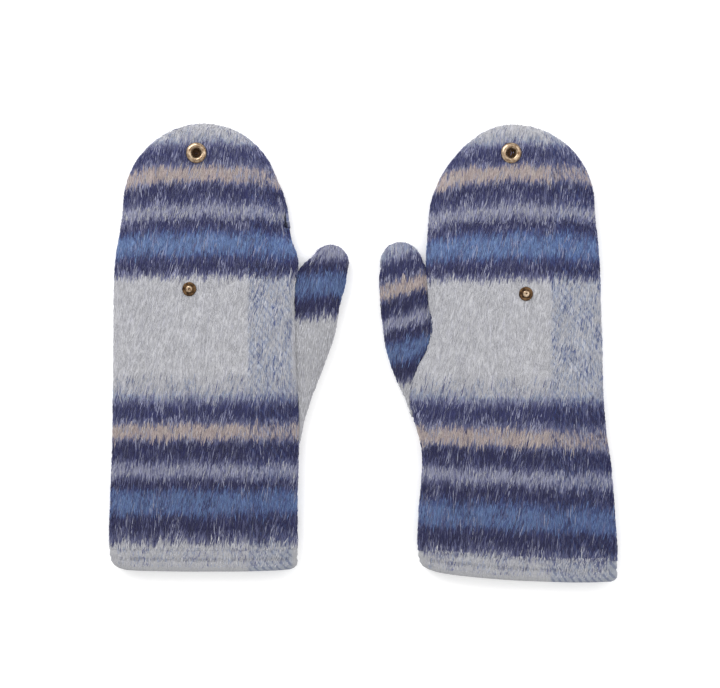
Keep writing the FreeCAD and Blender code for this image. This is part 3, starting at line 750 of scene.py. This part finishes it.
def lock_points(tree, centre, mark, lengths, lift, rng):
    """The seven points of one lock: three at its root, three at its bend and the tip."""
    slant = 0.14 + 0.1 * math.sin(mark[0] / 9.0 + mark[1] / 31.0) + rng.normal(0, 0.09)
    length = rng.uniform(*lengths) * (1 if rng.random() < 0.6 else -1)
    step = Vector((-math.sin(slant), -math.cos(slant), 0.0)) * length / 2
    middle, normal = tree.find_nearest(Vector(centre))[:2]
    along_cloth = step - normal * step.dot(normal)
    root = tree.find_nearest(middle - along_cloth)
    tip = tree.find_nearest(middle + along_cloth)
    side = (tip[0] - root[0]).cross(normal).normalized()
    width = rng.uniform(*LOCK_WIDTHS) / 2
    height = lift * rng.uniform(0.3, 1.0)
    points = []
    for base, size in ((root[0] - root[1] * 0.15, 1.0), (middle + normal * height, 0.85)):
        points += [base + side * width * size, base - side * width * size, base + normal * 0.2 * size]
    return points + [tip[0] + tip[1] * height * 0.6]


def add_nap(
    name, points, uvs, count, seed, wool,
    flip=False, lengths=LOCK_LENGTHS, mixes=WOOL_MIX, plaid=NO_BAND, lift=LOCK_LIFT,
):
    """Loose locks of brushed wool along the cloth, each a closed three-sided spike with one bend."""
    rng = np.random.default_rng(seed)
    tree = BVHTree.FromPolygons(points.reshape(-1, 3).tolist(), grid_faces(*points.shape[:2], 0, flip))
    names = list(wool)
    verts, faces, picks, marks_at = [], [], [], []
    for centre, mark in zip(*nap_spots(points, uvs, count, rng)):
        faces += [tuple(len(verts) + corner for corner in face) for face in LOCK_FACES]
        verts += lock_points(tree, centre, mark, lengths, lift, rng)
        in_band = plaid[0] < mark[0] < plaid[1]
        picks += [names.index(wool_at(mark, in_band, mixes, rng))] * len(LOCK_FACES)
        marks_at += [mark] * LOCK_POINTS
    verts = np.array([tuple(v) for v in verts])
    return mesh_object(name, verts, faces, np.array(marks_at), list(wool.values()), picks, False)


# ---- glove pieces


def panel_plan(glove, which, low, high, rows, columns, end_rows=0):
    """x, y and the distance to the edge over one panel of the hand or the cap."""
    plan = glove.plan
    stations = hand_stations(glove, which, low, high)
    return strip_plan(stations, plan["end_height"], rows, columns, end_rows, plan["shoulder"])


def back_grid(glove, low, high, rows, end_rows=0):
    """Points and cloth coordinates of the back between two places along y."""
    x, y, distance = panel_plan(glove, "back", low, high, rows, BACK_COLUMNS, end_rows)
    y = y - cuff_bow(glove, x, y)
    return stack3(x, y, back_height(glove, x, y, distance)), cloth_place(glove, x, y)


def slide_to_fold(glove, points, start, offset):
    """Moves the last rows of a grid so that its end follows the fold line at offset past it."""
    y = points[..., 1]
    top = y.max()
    share = np.clip((y - start) / (top - start), 0, 1)
    up = glove.up
    line = glove.hinge[1] + offset - (points[..., 0] - glove.hinge[0]) * up[0] / up[1]
    return y + (line - top) * share


def build_back(glove, materials, wool):
    """One panel from the hem to the fingertips, with its nap."""
    side = glove.side
    points, uvs = back_grid(glove, glove.hem_y, glove.end_y, BACK_ROWS, END_ROWS)
    back = shell_object(f"{side}_back_panel", points, uvs, CLOTH, materials[side])
    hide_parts(f"{side}_hand_back_shell", f"{side}_cap_back_shell")
    pieces = [back]
    hand_rows = int(np.argmin(np.abs(points[:, BACK_COLUMNS // 2, 1] - glove.hinge[1])))
    for part, low, high, count in (
        ("hand", 0, hand_rows + 2, HAND_LOCKS),
        ("cap", hand_rows, len(points), CAP_LOCKS),
    ):
        area = points[low:high], uvs[low:high]
        short_nap = add_nap(
            f"{side}_nap_{part}", *area, count, glove.seed * 10 + low, wool,
            plaid=glove.plan["plaid"],
        )
        long_nap = add_nap(
            f"{side}_long_nap_{part}", *area, count // LOCKS_PER_LONG_ONE, glove.seed * 20 + low, wool,
            lengths=LONG_LOCK_LENGTHS, mixes=LONG_MIX,
        )
        pieces += [short_nap, long_nap]
    for piece in pieces:
        blend_over_fold(piece)


def blend_over_fold(piece):
    """Bakes a piece's place into its mesh."""
    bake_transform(piece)


def build_palm(glove, materials, wool):
    """The hand's palm side, from the hem to the finger band."""
    side = glove.side
    low, high = glove.hem_y, glove.hinge[1]
    x, y, distance = panel_plan(glove, "palm", low, high, PALM_ROWS, PALM_COLUMNS)
    y = y - cuff_bow(glove, x, y)
    y = slide_to_fold(glove, np.stack([x, y], -1), high - 60, -OPENING_GAP)
    points = stack3(x, y, palm_height(glove, x, y, distance))
    uvs = cloth_place(glove, x, y)
    palm = shell_object(f"{side}_palm_panel", points, uvs, CLOTH, materials[side], flip=True)
    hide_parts(f"{side}_hand_palm_shell")
    nap = add_nap(
        f"{side}_nap_palm", points, uvs, PALM_LOCKS, glove.seed + 50, wool,
        flip=True, lift=PALM_LOCK_LIFT,
    )
    for piece in (palm, nap):
        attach(piece, f"{side}_hand")


def tongue_narrowing(glove, x, y):
    """How far the tongue's sides are set in under the palm, with its two corners rounded off."""
    fold = fold_distance(glove, x, y)
    side = (x - glove.centre_x) / 50.0
    set_in = TONGUE_SET_IN * np.clip(-fold / 3.0, 0, 1)
    below = np.clip(TONGUE_CORNER - (fold + TONGUE_LENGTH), 0, TONGUE_CORNER)
    corner = (TONGUE_CORNER - np.sqrt(TONGUE_CORNER**2 - below**2)) * np.abs(side) ** 6
    return side * set_in + np.sign(side) * corner


def follow_fold(glove, x, y, start):
    """Tilts the rows of the cap near start so that they lie along the fold line."""
    lean = glove.up[0] / glove.up[1]
    share = np.clip((glove.end_y - y) / (glove.end_y - start), 0, 1)
    return y - (x - glove.hinge[0]) * lean * share


def build_cap_palm(glove, materials, wool):
    """The cap's palm side with its tongue, and the turned hem on the tongue's edge."""
    side = glove.side
    start = glove.hinge[1] - TONGUE_LENGTH
    x, y, distance = panel_plan(
        glove, "palm", start, glove.end_y, CAP_PALM_ROWS, CAP_PALM_COLUMNS, END_ROWS
    )
    y = follow_fold(glove, x, y, start)
    x = x - tongue_narrowing(glove, x, y)
    points = stack3(x, y, cap_palm_height(glove, x, y, distance))
    uvs = cloth_place(glove, x, y)
    panel = shell_object(f"{side}_cap_palm_panel", points, uvs, THIN_CLOTH, materials[side], flip=True)
    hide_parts(f"{side}_cap_palm_shell")
    nap = add_nap(
        f"{side}_nap_cap_palm", points, uvs, CAP_PALM_LOCKS, glove.seed + 70, wool,
        flip=True, lift=PALM_LOCK_LIFT,
    )
    for piece in (panel, nap):
        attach(piece, f"{side}_cap")
    middle = points[:, CAP_PALM_COLUMNS // 2, 1]
    hem_rows = int(np.searchsorted(middle - middle[0], TONGUE_HEM))
    edge = points[: hem_rows + 1].copy()
    edge[..., 2] = 2.95
    hem = rolled_hem(f"{side}_cap_hem", edge, uvs[: hem_rows + 1], 1.1, materials[side + "_hem"])
    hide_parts(f"{side}_cap_hem")
    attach(hem, f"{side}_cap")


def rolled_hem(name, top, uvs, thickness, material):
    """A flat turned hem with rounded long edges, under the grid of points top."""
    f = np.linspace(-1, 1, len(top))[:, None]
    bulge = np.sqrt(np.clip(1 - f**8, 0, 1)) * thickness / 2
    middle = top[..., 2] - thickness / 2
    upper = stack3(top[..., 0], top[..., 1], middle + bulge)
    lower = stack3(top[..., 0], top[..., 1], middle - bulge - 0.02)
    return closed_sheet(name, upper, lower, uvs, material)


def tube_loop(glove, y_row, inset, columns=LOOP_COLUMNS, fold_line=False):
    """One closed loop round the hand at y_row, set in from the skin: over the back, under the palm."""
    plan = glove.plan
    left, right = (side[0] for side in hand_sides(glove, "palm", np.array([y_row])))
    s = np.sin(np.linspace(-1, 1, columns + 1) * math.pi / 2)
    middle, half = (left + right) / 2, (right - left) / 2
    x = middle + s * (half - inset)
    if fold_line:
        y = y_row - (x - glove.hinge[0]) * glove.up[0] / glove.up[1]
    else:
        y = y_row + plan["cuff_slant"] * foot_share(plan, y_row) * s
        y = y - cuff_bow(glove, x, y)
    left_round, right_round = plan["corners"]
    corner = np.where(s < 0, left_round, right_round)
    below = np.clip(corner - (y_row - plan["back"][0][0]), 0, corner)
    x = x - s * np.abs(s) ** 5 * (corner - np.sqrt(corner**2 - below**2))
    distance = half * (1 - np.abs(s))
    top = back_height(glove, x, y, distance) - inset * rise(distance, 6.0)
    bottom = palm_height(glove, x, y, distance) + inset * rise(distance, 6.0)
    middle_z = (top + bottom) / 2
    over = stack3(x, y, np.maximum(top, middle_z))
    under = stack3(x, y, np.minimum(bottom, middle_z))
    return np.concatenate([over, under[-2:0:-1]])


def loop_tube(name, glove, loops, material):
    """A solid from loops: the first and last loops meet, so it is a ring with thickness."""
    points = np.array(loops)
    rows, columns = points.shape[:2]
    faces = grid_faces(rows, columns, close_rows=True, close_columns=True)
    uvs = cloth_place(glove, points[..., 0], points[..., 1])
    uvs[..., 1] += CUFF_CROWN - points[..., 2]
    return mesh_object(name, points.reshape(-1, 3), faces, uvs.reshape(-1, 2), [material])


def build_cuff_hem(glove, materials, wool):
    """The turned hem: outside, rolled foot and inside, with a shallow stitched crease."""
    side = glove.side
    foot, head = glove.plan["back"][0][0], glove.hem_y
    outer = [
        (head + 0.6, 0.5), (head, -0.15), (head - HEM_WIDTH * 0.3, -0.25),
        (head - HEM_WIDTH * 0.42, HEM_CREASE * 0.5), (head - HEM_WIDTH * 0.55, -0.3),
        (foot + 2.6, -0.2), (foot + 1.0, 0.15), (foot + 0.2, 0.9),
    ]
    inner = [(foot, 1.7), (foot + 0.4, 2.5), (foot + 1.6, 3.1), (foot + 5.0, 3.3), (head + 1.5, 3.2)]
    loops = [tube_loop(glove, y, inset, HEM_COLUMNS) for y, inset in outer + inner]
    hem = loop_tube(f"{side}_cuff_hem_roll", glove, loops[::-1], materials[side + "_hem"])
    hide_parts(f"{side}_cuff_hem")
    points, uvs = back_grid(glove, foot + 2.5, head + 2.0, HEM_ROWS)
    flat = slice(HEM_NAP_MARGIN, -HEM_NAP_MARGIN)
    nap = add_nap(
        f"{side}_nap_hem", points[:, flat], uvs[:, flat], HEM_LOCKS, glove.seed + 30, wool,
        lengths=HEM_LOCK_LENGTHS, mixes=HEM_MIX,
    )
    for piece in (hem, nap):
        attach(piece, f"{side}_hand")


def build_finger_band(glove, materials):
    """The folded binding round the finger opening, under the cap."""
    side = glove.side
    line = glove.hinge[1]
    spots = [
        (-BAND_WIDTH, 2.15), (-BAND_WIDTH * 0.5, 2.05), (-1.4, 2.05), (-0.6, 2.5),
        (-0.5, 3.1), (-1.3, 3.7), (-BAND_WIDTH * 0.5, 3.9), (-BAND_WIDTH, 3.9),
    ]
    loops = [tube_loop(glove, line + v, inset, fold_line=True) for v, inset in spots]
    band = loop_tube(f"{side}_finger_binding", glove, loops[::-1], materials[side + "_hem"])
    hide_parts(f"{side}_finger_band")
    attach(band, f"{side}_hand")


def build_hand_lining(glove, materials):
    """The fleece tube inside the hand, seen through the cuff and the finger opening."""
    side = glove.side
    low, high = glove.hem_y + 1.0, glove.hinge[1] - BAND_WIDTH - 3.5
    places = np.linspace(low, high, 26)
    outer = [tube_loop(glove, y, LINING_DEPTH) for y in places]
    inner = [tube_loop(glove, y, LINING_DEPTH + LINING_THICKNESS) for y in places[::-1]]
    lining = loop_tube(f"{side}_hand_fleece", glove, outer + inner, materials["fleece"])
    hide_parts(f"{side}_hand_lining")
    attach(lining, f"{side}_hand")


def build_cap_lining(glove, materials):
    """The fleece inside the cap: one sheet under the back and one over the palm side."""
    side = glove.side
    start = glove.hinge[1] + 2.0
    x, y, distance = panel_plan(
        glove, "palm", start, glove.end_y, CAP_LINING_ROWS, CAP_LINING_COLUMNS, CAP_LINING_END_ROWS
    )
    x = glove.centre_x + (x - glove.centre_x) * NARROW_CUT
    y = follow_fold(glove, x, start + (y - start) * SHORT_CUT, start)
    uvs = cloth_place(glove, x, y)
    for part, height, flip, sink in (
        ("back", back_height, False, -LINING_DEPTH),
        ("palm", cap_palm_height, True, LINING_DEPTH - 0.3),
    ):
        points = stack3(x, y, height(glove, x, y, distance) + sink * rise(distance, 5.0))
        sheet = shell_object(
            f"{side}_cap_fleece_{part}", points, uvs, LINING_THICKNESS, materials["fleece"], flip
        )
        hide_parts(f"{side}_cap_lining")
        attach(sheet, f"{side}_cap")


def thumb_grid(glove, top, inset=0.0):
    """Points of the thumb's back or palm half, with a rounded tip, set in from the skin by inset."""
    stations = []
    for a, b in np.array(glove.plan["thumb"], float):
        share = min(inset / np.hypot(*(b - a)), 0.35)
        ends = a + (b - a) * share, b + (a - b) * share
        stations.append([(x + glove.centre_x, y) for x, y in ends])
    end_height = glove.plan["thumb_end"] - inset
    x, y, distance = strip_plan(stations, end_height, THUMB_ROWS, THUMB_COLUMNS, THUMB_END_ROWS)
    widest = distance.max(axis=1, keepdims=True)
    fullness = np.clip(widest / 11.0, 0, 1) ** 0.6
    share = np.clip(distance / np.maximum(widest, 1.0), 0, 1)
    roundness = fullness * np.sqrt(1 - (1 - share) ** 2)
    if top:
        z = THUMB_SEAM + (THUMB_CROWN - THUMB_SEAM - inset) * roundness
        z = z + 0.35 * np.sin(y / 6.0 + glove.seed) * share
    else:
        z = THUMB_SEAM - 0.1 - (THUMB_SEAM - FLOOR_GAP - inset) * roundness
    return stack3(x, y, z)


def build_thumb(glove, materials, wool):
    """Back and palm halves of the closed thumb, with fleece inside."""
    side = glove.side
    for part, top, locks, lift in (
        ("back", True, THUMB_BACK_LOCKS, LOCK_LIFT),
        ("palm", False, THUMB_PALM_LOCKS, PALM_LOCK_LIFT),
    ):
        fleece = thumb_grid(glove, top, LINING_DEPTH)[4:]
        uvs = thumb_cloth_place(glove, fleece[..., 0], fleece[..., 1])
        sheet = shell_object(
            f"{side}_thumb_fleece_{part}", fleece, uvs, LINING_THICKNESS, materials["fleece"],
            flip=not top,
        )
        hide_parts(f"{side}_thumb_lining")
        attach(sheet, f"{side}_hand")
        points = thumb_grid(glove, top)
        uvs = thumb_cloth_place(glove, points[..., 0], points[..., 1])
        half = shell_object(
            f"{side}_thumb_{part}", points, uvs, THIN_CLOTH, materials[side + "_thumb"], flip=not top
        )
        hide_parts(f"{side}_thumb_{part}_shell")
        nap = add_nap(
            f"{side}_nap_thumb_{part}", points, uvs, locks, glove.seed * 7 + top, wool,
            flip=not top, lengths=THUMB_LOCK_LENGTHS, lift=lift,
        )
        for piece in (half, nap):
            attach(piece, f"{side}_hand")


# ---- snaps


def lathe(name, centre, base, profile, materials, painted_highlight_above=math.inf):
    """A turned piece about an upright axis at centre, standing on base.
    Faces higher than the given height over the base take the second material, a paler brass painted on as
    a highlight."""
    turn = np.linspace(0, 2 * math.pi, LATHE_SEGMENTS, endpoint=False)
    radius, height = np.array(profile, float).T + [[0], [base]]
    x = centre[0] + np.cos(turn)[:, None] * radius[None, :]
    y = centre[1] + np.sin(turn)[:, None] * radius[None, :]
    points = stack3(x, y, np.broadcast_to(height, x.shape))
    faces = grid_faces(LATHE_SEGMENTS, len(profile), close_rows=True, close_columns=True)
    uvs = np.stack([x, y], -1).reshape(-1, 2)
    flat = points.reshape(-1, 3)
    picks = [int(flat[list(face), 2].mean() > base + painted_highlight_above) for face in faces]
    thing = mesh_object(name, flat, faces, uvs, materials, picks)
    finish = thing.modifiers.new("round", "SUBSURF")
    finish.levels = 1
    finish.render_levels = 1
    return thing


def box_centre(node):
    """Plan centre of a CAD node's box, and its lowest height, in millimetres."""
    low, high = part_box(node)
    return (low.x + high.x) / 2 / MM, (low.y + high.y) / 2 / MM, low.z / MM


def build_snaps(glove, materials):
    """The open ring socket on the cap and the stud on the hand."""
    side = glove.side
    x, y, base = box_centre(f"{side}_snap_socket")
    ring = lathe(f"{side}_ring_socket", (x, y), base, RING_PROFILE, [materials["ring"]])
    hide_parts(f"{side}_snap_socket")
    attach(ring, f"{side}_cap")
    # A dark brass dish in the ring's hole: painted shade inside the socket.
    well = lathe(f"{side}_socket_painted_shade_dish", (x, y), base, WELL_PROFILE, [materials["dark"]])
    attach(well, f"{side}_cap")

    x, y, base = box_centre(f"{side}_snap_stud")
    # The knob's top takes the paler ring brass as a painted highlight.
    brass = [materials["stud"], materials["ring"]]
    stud = lathe(f"{side}_stud", (x, y), base, STUD_PROFILE, brass, painted_highlight_above=1.9)
    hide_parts(f"{side}_snap_stud")
    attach(stud, f"{side}_hand")


def dress_cad_nodes(materials):
    """Gives the CAD pieces that stay shown their own materials."""
    for side in ("left", "right"):
        # The spring and the socket's cap take the dark brass, darkened as painted shade inside the
        # socket's hole.
        for node, material in (
            ("snap_socket_spring", "dark"),
            ("snap_socket_cap", "dark"),
            ("snap_stud_eyelet", "stud"),
        ):
            mesh = frame["nodes"][f"{side}_{node}"].data
            mesh.materials.clear()
            mesh.materials.append(materials[material])


# ---- scene


def glove_facts(side, seed):
    """What every piece of one glove needs to know, in millimetres."""
    plan = PLANS[side]
    joint = next(j for j in frame["joints"] if j["name"] == f"{side}_cap_fold")
    foot = plan["back"][0][0]
    return SimpleNamespace(
        side=side,
        seed=seed,
        plan=plan,
        centre_x=joint["pos_m"][0] / MM - plan["hinge_x"],
        hinge=(joint["pos_m"][0] / MM, joint["pos_m"][1] / MM),
        up=(-joint["axis"][1], joint["axis"][0]),
        seam_z=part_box(f"{side}_hand_palm_shell")[1].z / MM,
        hem_y=foot + HEM_WIDTH,
        end_y=plan["back"][-1][0],
        snaps=[box_centre(f"{side}_snap_socket")[:2], box_centre(f"{side}_snap_stud")[:2]],
    )


def make_materials():
    materials = {"fleece": fleece_material()}
    for side in ("left", "right"):
        plaid = PLANS[side]["plaid"]
        materials[side] = check_material(f"{side}_check", plaid, 0.96)
        # The hem's copy of the check is darker: painted shade on the turned hem. The thumb's copy is a
        # little darker too.
        materials[side + "_hem"] = check_material(f"{side}_check_hem", plaid, 0.86)
        materials[side + "_thumb"] = check_material(f"{side}_check_thumb", (500.0, 510.0), 0.88)
    materials["ring"] = brass_material("champagne_brass", (196, 174, 148), (124, 98, 74), (0.2, 0.38))
    materials["stud"] = brass_material("antique_brass", (112, 86, 60), (52, 37, 26), (0.3, 0.5))
    # Dark brass, darkened as painted shade for the socket's hole.
    materials["dark"] = brass_material("brass_in_painted_shade", (66, 48, 34), (34, 24, 17), (0.5, 0.7))
    wool = {name: lock_material(name, colour) for name, colour in WOOL_COLOURS.items()}
    return materials, wool


def add_camera():
    """Straight down on the pair."""
    data = bpy.data.cameras.new("camera")
    data.lens = LENS
    data.sensor_width = SENSOR
    data.sensor_fit = "HORIZONTAL"
    camera = add_object("camera", data)
    distance = IMAGE_WIDTH * LENS / SENSOR
    camera.location = (VIEW_CENTRE[0], VIEW_CENTRE[1], VIEW_CENTRE[2] + distance)
    bpy.context.scene.camera = camera


def add_light(name, location, size, power):
    data = bpy.data.lights.new(name, "AREA")
    data.size = size
    data.energy = power
    lamp = add_object(name, data)
    lamp.location = location
    lamp.rotation_euler = (-Vector(location)).to_track_quat("-Z", "Y").to_euler()


def add_stage():
    """A plain pale floor, an even white surround and two soft lamps."""
    mesh = bpy.data.meshes.new("floor")
    corners = [(x * FLOOR_REACH, y * FLOOR_REACH, 0) for x, y in ((-1, -1), (1, -1), (1, 1), (-1, 1))]
    mesh.from_pydata(corners, [], [(0, 1, 2, 3)])
    nodes = Nodes("floor_white")
    nodes.dress({"Base Color": (0.93, 0.93, 0.93, 1), "Roughness": 0.9, "Specular IOR Level": 0.1})
    nodes.dress({"Emission Color": (1, 1, 1, 1), "Emission Strength": 0.2})
    mesh.materials.append(nodes.material)
    floor = add_object("floor", mesh)
    world = bpy.data.worlds.new("surround")
    world.use_nodes = True
    tree = world.node_tree
    background = tree.nodes["Background"]
    background.inputs["Color"].default_value = (1, 1, 1, 1)
    seen = tree.nodes.new("ShaderNodeLightPath")
    strength = tree.nodes.new("ShaderNodeMapRange")
    tree.links.new(seen.outputs["Is Camera Ray"], strength.inputs["Value"])
    strength.inputs["To Min"].default_value = WORLD_LIGHT
    strength.inputs["To Max"].default_value = 1.0
    tree.links.new(strength.outputs["Result"], background.inputs["Strength"])
    bpy.context.scene.world = world
    add_light("key", (-0.7, 1.0, 1.1), 1.0, 15)
    add_light("fill", (0.9, 0.3, 1.4), 1.4, 8)
    bpy.context.scene.view_settings.view_transform = "Standard"


def main():
    add_camera()
    add_stage()
    materials, wool = make_materials()
    for seed, side in enumerate(("left", "right"), start=1):
        glove = glove_facts(side, seed)
        build_back(glove, materials, wool)
        build_palm(glove, materials, wool)
        build_cap_palm(glove, materials, wool)
        build_cuff_hem(glove, materials, wool)
        build_finger_band(glove, materials)
        build_hand_lining(glove, materials)
        build_cap_lining(glove, materials)
        build_thumb(glove, materials, wool)
        build_snaps(glove, materials)
    dress_cad_nodes(materials)


main()
